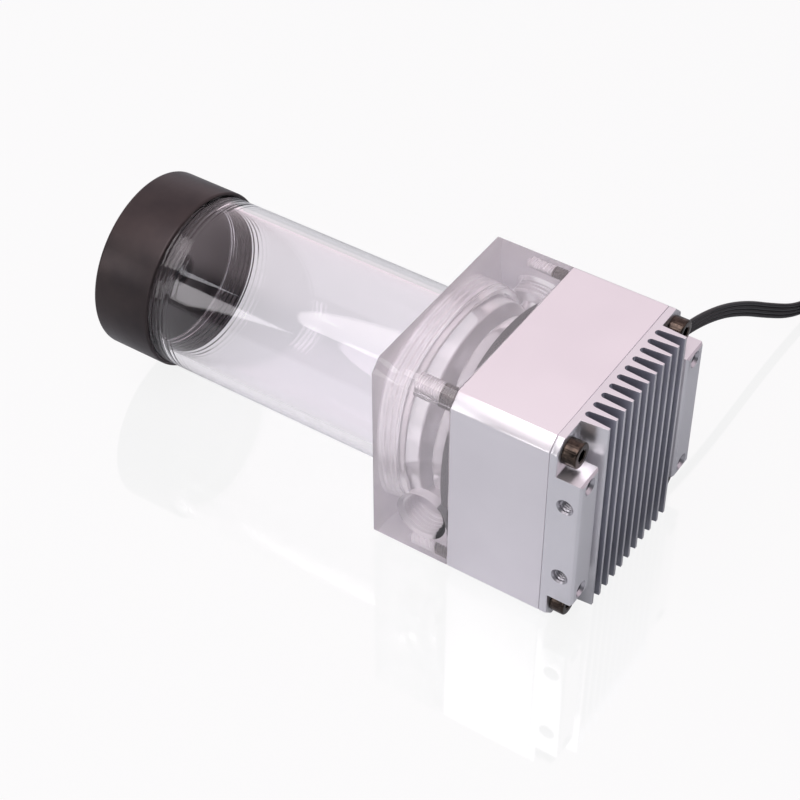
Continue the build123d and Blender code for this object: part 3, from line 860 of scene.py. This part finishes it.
def screw_cap():
    outline = [(FILL_PORT_FROM, FILL_SINK_RADIUS), (CAP_END + 0.25, FILL_SINK_RADIUS),
               (CAP_END, FILL_SINK_RADIUS + 0.25)]
    outline += corner_arc((CAP_END + CAP_ROUND, CAP_RADIUS - CAP_ROUND), CAP_ROUND, 180.0, 90.0, 6)
    outline += corner_arc((SKIRT_EDGE - SKIRT_ROUND, CAP_RADIUS - SKIRT_ROUND), SKIRT_ROUND, 90.0, 0.0, 6)
    outline += [(SKIRT_EDGE, SOCKET_RADIUS + 0.25), (SKIRT_EDGE - 0.25, SOCKET_RADIUS),
                (TUBE_END, SOCKET_RADIUS), (TUBE_END, SEAL_OUTER), (TUBE_END - CAP_SEAL_DEPTH, SEAL_OUTER),
                (TUBE_END - CAP_SEAL_DEPTH, SEAL_INNER), (TUBE_END, SEAL_INNER), (TUBE_END, FILL_BORE + 0.3),
                (TUBE_END - 0.3, FILL_BORE), (FILL_PORT_TO, FILL_BORE)]
    outline += wall(FILL_PORT_TO, FILL_PORT_FROM, PORT_RADIUS, 70)
    shape = turned(bmesh.new(), outline, at(0, 0, AXIS_Z), steps=160, form=cap_form)
    return into_piece("screw_cap", shape)


cap = screw_cap()
wear(cap, cap_black)
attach(cap, "cap")
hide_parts("cap")


# ---- fill plug ----
PLUG_TOP, PLUG_TIP = -122.2, -112.8
PLUG_RADIUS = 6.1
PLUG_THREAD = 0.62                # depth
FLANGE_RADIUS = 8.7
FLANGE_KNURLS = 48
FLANGE_KNURL_DEPTH = 0.16
PLUG_KEY_RADIUS = 4.0             # to a flat of its hexagon


def plug_form(along, radius, angle):
    if abs(radius - PLUG_RADIUS) < 0.001:
        cut = PLUG_THREAD * fade(along, CAP_END + 0.6, PLUG_TIP - 0.4, 0.5)
        return radius - cut * thread_valley(along, angle, PORT_PITCH)
    if radius > FLANGE_RADIUS - 0.1:
        return radius - FLANGE_KNURL_DEPTH * abs(math.sin(angle * FLANGE_KNURLS / 2))
    return radius


def fill_plug():
    rounded = FLANGE_RADIUS - 0.15
    outline = [(PLUG_TOP, 0.0), (PLUG_TOP, FLANGE_RADIUS - 0.4), (PLUG_TOP + 0.15, rounded),
               (PLUG_TOP + 0.35, FLANGE_RADIUS), (CAP_END - 0.35, FLANGE_RADIUS), (CAP_END - 0.15, rounded),
               (CAP_END - 0.05, FLANGE_RADIUS - 0.4), (CAP_END, PLUG_RADIUS)]
    outline += wall(CAP_END + 0.4, PLUG_TIP - 0.3, PLUG_RADIUS, 66)
    outline += [(PLUG_TIP, PLUG_RADIUS - 0.7), (PLUG_TIP, 0.0)]
    shape = turned(bmesh.new(), outline, at(0, 0, AXIS_Z), steps=144, form=plug_form)
    plug = into_piece("fill_plug_threaded", shape)
    hexagon = bmesh.new()
    reach = PLUG_KEY_RADIUS / math.cos(math.pi / 6)
    outline = [(reach * math.cos(math.pi / 3 * number), AXIS_Z + reach * math.sin(math.pi / 3 * number))
               for number in range(6)]
    prism(hexagon, outline, PLUG_TOP - 1.0, PLUG_TOP + 4.0, along_x)
    worked(plug, [into_piece("hexagon", hexagon)])
    return plug


plug = fill_plug()
wear(plug, plug_black)
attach(plug, "fill_plug")
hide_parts("fill_plug")


# ---- cover ----
MOTOR_RADIUS = 23.2
FLANGE_SEAT = 2.0
CABLE_HOLE_RADIUS = 3.5


def cover_hollow():
    through = COVER_END + 1.1
    outline = [(-1.0, 0.0), (-1.0, RECESS_RADIUS), (FLANGE_SEAT, RECESS_RADIUS), (FLANGE_SEAT, MOTOR_RADIUS),
               (through, MOTOR_RADIUS), (through, 0.0)]
    return into_piece("cover hollow", turned(bmesh.new(), outline, at(0, 0, AXIS_Z), steps=128))


def bored(shape, start, low, high, radius, direction=(1, 0, 0), steps=40):
    """Adds a plain round bar that cuts a hole."""
    turned(shape, [(low, 0.0), (low, radius), (high, radius), (high, 0.0)], start, direction, steps)


def cover_passages():
    shape = bmesh.new()
    for y, z in screw_places():
        bored(shape, at(0, y, z), -1.0, COVER_END + 1.1, CLEAR_HOLE_RADIUS)
    bored(shape, at(CABLE_EXIT[0], 0, CABLE_EXIT[2]), MOTOR_RADIUS + 0.3, SIDE / 2 + 1.5, CABLE_HOLE_RADIUS,
          (0, 1, 0), 48)
    return into_piece("cover passages", shape)


def pump_cover():
    cover = housing_bar("silver_cover", 0.0, COVER_END, edge=0.38)
    worked(cover, [cover_hollow()])
    worked(cover, [cover_passages()])
    return cover


cover = pump_cover()
wear(cover, cover_metal)
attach(cover, "pump")
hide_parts("pump_cover")


# ---- heatsink ----
FIN_COUNT = 11
FIN_PITCH = 3.92
FIN_ROOT = 2.0
FIN_TIP = 0.9
SLOT_FLOOR = POCKET_FLOOR - 0.45
POST_INNER = 22.9
POST_LOW, POST_HIGH = 10.15, 52.85
POST_BEVEL = 0.6
TAPPED_RADIUS = 1.65
TAPPED_THREAD = 0.36              # depth
SIDE_HOLES = [(33.1, AXIS_Z + offset) for offset in (-12.5, 12.5)]
END_HOLE_Y, END_HOLE_RISE = 27.2, 18.5
BLASTED, SLOT_SHADE, SHADED_TAPPED_HOLE = range(3)


def comb_block():
    root = (FIN_COUNT - 1) / 2 * FIN_PITCH + FIN_ROOT / 2
    tip = (FIN_COUNT - 1) / 2 * FIN_PITCH + FIN_TIP / 2
    outline = [(COVER_END + 0.6, -root), (POCKET_FLOOR, -root), (FIN_TIPS, -tip), (FIN_TIPS, tip),
               (POCKET_FLOOR, root), (COVER_END + 0.6, root)]
    shape = bmesh.new()
    prism(shape, outline, 0.0, SIDE, at)
    return into_piece("comb", shape)


def post_block(side_way):
    shape = bmesh.new()
    outline = [(side_way * POST_INNER, POST_LOW), (side_way * SIDE / 2, POST_LOW),
               (side_way * SIDE / 2, POST_HIGH), (side_way * POST_INNER, POST_HIGH)]
    prism(shape, outline, COVER_END + 0.6, FIN_TIPS, along_x)
    bmesh.ops.recalc_face_normals(shape, faces=shape.faces)
    near_tip = at(FIN_TIPS - 0.1, 0, 0).x
    tip = [edge for edge in shape.edges if all(vertex.co.x > near_tip for vertex in edge.verts)]
    bmesh.ops.bevel(shape, geom=tip, offset=POST_BEVEL * MM, segments=1, profile=0.5, affect="EDGES")
    return into_piece("post", shape)


def slot_cuts():
    """The gaps between the fins, round at the bottom and wider at the tips."""
    shape = bmesh.new()
    root = (FIN_PITCH - FIN_ROOT) / 2
    tip = (FIN_PITCH - FIN_TIP) / 2
    shoulder = SLOT_FLOOR + root
    beyond = FIN_TIPS + 1.0
    outer = tip + (tip - root) / (FIN_TIPS - shoulder)
    for number in range(FIN_COUNT - 1):
        middle = (number - (FIN_COUNT - 2) / 2) * FIN_PITCH
        outline = [(beyond, middle - outer)]
        for degrees in range(-90, 91, 18):
            angle = math.radians(degrees)
            outline.append((shoulder - root * math.cos(angle), middle + root * math.sin(angle)))
        outline += [(beyond, middle + outer)]
        prism(shape, outline, -1.0, SIDE + 1.0, at)
    return into_piece("slots", shape)


def tapped_hole(shape, start, direction, depth):
    """Adds a countersunk threaded hole."""
    def form(along, radius, angle):
        if abs(radius - TAPPED_RADIUS) < 0.001:
            cut = TAPPED_THREAD * fade(along, 0.6, depth - 0.3, 0.3)
            return radius + cut * (1.0 - thread_valley(along, angle, SCREW_PITCH))
        return radius
    outline = [(-1.0, 0.0), (-1.0, TAPPED_RADIUS + 1.75), (0.5, TAPPED_RADIUS + 0.25)]
    outline += wall(0.9, depth - 0.2, TAPPED_RADIUS, int((depth - 1.1) * 13))
    outline += [(depth, TAPPED_RADIUS - 0.1), (depth + 0.8, 0.0)]
    turned(shape, outline, start, direction, 48, form)


def heatsink_holes():
    shape = bmesh.new()
    for x, z in SIDE_HOLES:
        tapped_hole(shape, at(x, -SIDE / 2, z), (0, 1, 0), depth=7.0)
    return into_piece("side holes", shape)


def heatsink_end_holes():
    shape = bmesh.new()
    for y in (-END_HOLE_Y, END_HOLE_Y):
        for z in (AXIS_Z - END_HOLE_RISE, AXIS_Z + END_HOLE_RISE):
            tapped_hole(shape, at(FIN_TIPS, y, z), (-1, 0, 0), depth=8.0)
    return into_piece("end holes", shape)


def heatsink_passages():
    shape = bmesh.new()
    for y, z in screw_places():
        bored(shape, at(0, y, z), COVER_END - 0.9, POCKET_FLOOR + 0.9, CLEAR_HOLE_RADIUS)
    return into_piece("heatsink passages", shape)


def finned_heatsink():
    sink = housing_bar("finned_heatsink", COVER_END, POCKET_FLOOR, edge=0.34)
    worked(sink, [comb_block()], "UNION")
    worked(sink, [slot_cuts()])
    worked(sink, [post_block(-1), post_block(1)], "UNION")
    worked(sink, [heatsink_passages()])
    edge = sink.modifiers.new("edges", "BEVEL")
    edge.width = 0.11 * MM
    edge.segments = 2
    edge.limit_method = "ANGLE"
    edge.angle_limit = math.radians(40.0)
    edge.use_clamp_overlap = True
    settle(sink, 40.0)
    worked(sink, [heatsink_holes()])
    worked(sink, [heatsink_end_holes()])
    return sink


def finish_heatsink(piece):
    """The slots' walls and floors and the tapped holes get darker copies of the metal, as painted shade."""
    piece.data.materials.append(slot_shade_metal)
    piece.data.materials.append(hole_shade_metal)
    slots = (FIN_COUNT - 1) / 2 * FIN_PITCH
    sunk_radius = TAPPED_RADIUS + 0.95
    for face in piece.data.polygons:
        x, y, z = face.center / MM
        x -= JOINT_X
        depth = y + SIDE / 2
        from_side_hole = min(math.hypot(x - hole_x, z - hole_z) for hole_x, hole_z in SIDE_HOLES)
        from_end_hole = math.hypot(abs(y) - END_HOLE_Y, abs(z - AXIS_Z) - END_HOLE_RISE)
        # Slot faces get the painted shade of the slots, and faces in the tapped holes get the painted shade
        # of the holes.
        finish = BLASTED
        if abs(y) < slots and SLOT_FLOOR - 0.1 < x < FIN_TIPS - 0.2 and 0.3 < z < SIDE - 0.3:
            finish = SLOT_SHADE
        elif 0.05 < depth < 8.0 and from_side_hole < sunk_radius:
            finish = SHADED_TAPPED_HOLE
        # painted shade inside the tapped holes
        elif FIN_TIPS - 9.0 < x < FIN_TIPS - 0.05 and from_end_hole < sunk_radius:
            finish = SHADED_TAPPED_HOLE
        face.material_index = finish


sink = finned_heatsink()
wear(sink, fin_metal)
finish_heatsink(sink)
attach(sink, "pump")
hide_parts("heatsink")


# ---- floor, backdrop and light ----
def seen_by(finish, camera, mirrored, passed):
    """A share for rays from the camera, for mirrored rays and for rays through glass, and 0 for light."""
    share = finish.node("ShaderNodeLightPath", output="Is Camera Ray") * camera
    share = share.larger(finish.node("ShaderNodeLightPath", output="Is Glossy Ray") * mirrored)
    return share.larger(finish.node("ShaderNodeLightPath", output="Is Transmission Ray") * passed)


FLOOR_REACH = 4.0                 # metres
FLOOR_HEIGHT = -0.0001            # metres
WHITE = (1.0, 1.0, 1.0, 1.0)


def pale_floor():
    """Lit as a pale floor and white to the camera, with the object's shadow and a faint mirror image."""
    shape = bmesh.new()
    for x, y in ((-1, -1), (1, -1), (1, 1), (-1, 1)):
        shape.verts.new((x * FLOOR_REACH, y * FLOOR_REACH, FLOOR_HEIGHT))
    shape.faces.new(shape.verts)
    floor = into_piece("floor", shape)
    material, finish = new_finish("pale floor")
    lit = finish.node("ShaderNodeBsdfDiffuse", sockets={0: (0.74, 0.755, 0.785, 1.0)})
    white = finish.node("ShaderNodeEmission", sockets={0: WHITE, 1: 1.0})
    shine = finish.node("ShaderNodeBsdfGlossy", sockets={0: WHITE, 1: 0.04})
    base = finish.node("ShaderNodeMixShader",
                       sockets={0: seen_by(finish, 0.93, 0.1, 0.62), 1: lit, 2: white})
    finish.ends_in(finish.node("ShaderNodeMixShader",
                               sockets={0: seen_by(finish, 0.06, 0.0, 0.0), 1: base, 2: shine}))
    wear(floor, material)


def studio_world():
    """White to the camera. In metal and glass bright behind and above the object, and dim in front."""
    world = bpy.data.worlds.new("studio")
    world.use_nodes = True
    bpy.context.scene.world = world
    finish = Finish(world.node_tree, "ShaderNodeOutputWorld")
    way = finish.node("ShaderNodeTexCoord", output="Generated")
    towards = finish.node("ShaderNodeVectorMath", {"operation": "DOT_PRODUCT"},
                          {0: way, 1: (-0.15, 0.8, 0.58)}, output="Value")
    backdrop = towards.rise(-0.15, 0.45)
    colour = finish.blend(backdrop, (0.12, 0.122, 0.135), (1.0, 0.86, 0.92))
    studio = finish.node("ShaderNodeBackground", sockets={0: colour, 1: 1.0})
    fill = finish.node("ShaderNodeBackground", sockets={0: (0.82, 0.88, 1.0, 1.0), 1: 0.18})
    white = finish.node("ShaderNodeBackground", sockets={0: (0.97, 0.965, 0.97, 1.0), 1: 1.0})
    unseen = finish.node("ShaderNodeMixShader",
                         sockets={0: seen_by(finish, 0.0, 1.0, 1.0), 1: fill, 2: studio})
    finish.ends_in(finish.node("ShaderNodeMixShader",
                               sockets={0: seen_by(finish, 1.0, 0.0, 0.0), 1: unseen, 2: white}))


def soft_lamp(name, place, aim, width, height, power, colour):
    """Adds a lamp with a glowing rectangle, in metres and watts."""
    data = bpy.data.lights.new(name, "AREA")
    data.shape = "RECTANGLE"
    data.size = width
    data.size_y = height
    data.energy = power
    data.color = colour
    lamp = bpy.data.objects.new(name, data)
    lamp.location = place
    lamp.rotation_euler = (Vector(place) - Vector(aim)).to_track_quat("Z", "Y").to_euler()
    bpy.context.scene.collection.objects.link(lamp)


pale_floor()
studio_world()
MIDDLE = (0.0, 0.0, 0.03)
soft_lamp("key", (-0.04, -0.42, 0.92), MIDDLE, 0.9, 0.75, 6.1, (1.0, 0.94, 0.965))
soft_lamp("front", (0.0, -1.05, 0.32), MIDDLE, 0.5, 0.4, 1.5, (1.0, 0.97, 0.99))
soft_lamp("high strip", (-0.74, -0.63, 0.76), MIDDLE, 0.33, 0.11, 0.3, (0.95, 0.95, 1.0))
soft_lamp("low strip", (-0.74, -0.90, 0.39), MIDDLE, 0.33, 0.44, 1.45, (1.0, 0.97, 1.0))

view = bpy.context.scene.view_settings
view.view_transform = "Standard"
